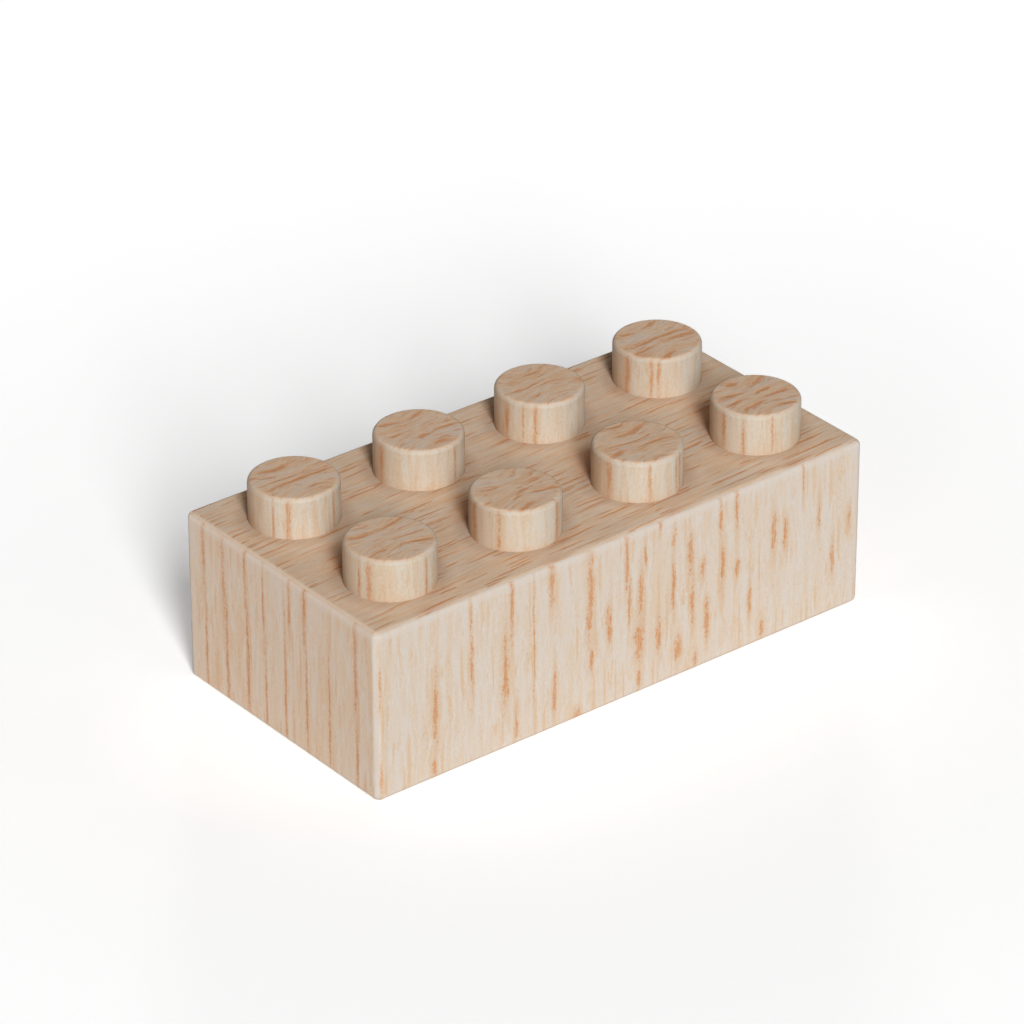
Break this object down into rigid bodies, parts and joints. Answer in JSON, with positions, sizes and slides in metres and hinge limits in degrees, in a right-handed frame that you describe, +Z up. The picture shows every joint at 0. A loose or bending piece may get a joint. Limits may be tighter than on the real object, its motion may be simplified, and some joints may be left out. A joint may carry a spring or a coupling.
{
  "type": "toy building brick",
  "caption": "Rectangular wooden toy building brick with rows of low round studs on top, rounded edges and an open underside whose round tubes grip the studs of a like brick.",
  "frame": {"origin": "middle of the base, in the plane of the walls' lower rim", "axes": "+X along the brick's length, +Y across it from the front wall to the back wall, +Z up through the studs"},
  "size_m": [0.128, 0.064, 0.0484],
  "materials": {
    "side_oak": "sanded matte, upright grain",
    "top_oak": "sanded matte, grain along the brick",
    "stud_oak": "sanded matte",
    "tube_oak": "turned, matte",
    "spline_oak": "sawn, matte"
  },
  "bodies": {
    "root": {"top_board": "top_oak", "front_wall": "side_oak", "back_wall": "side_oak", "left_wall": "side_oak", "right_wall": "side_oak", "stud_a1": "stud_oak", "stud_a2": "stud_oak", "stud_a3": "stud_oak", "stud_a4": "stud_oak", "stud_b1": "stud_oak", "stud_b2": "stud_oak", "stud_b3": "stud_oak", "stud_b4": "stud_oak", "grip_tube_1": "tube_oak", "grip_tube_2": "tube_oak", "grip_tube_3": "tube_oak", "corner_spline_front_left": "spline_oak", "corner_spline_front_right": "spline_oak", "corner_spline_back_left": "spline_oak", "corner_spline_back_right": "spline_oak"}
  },
  "joints": []
}
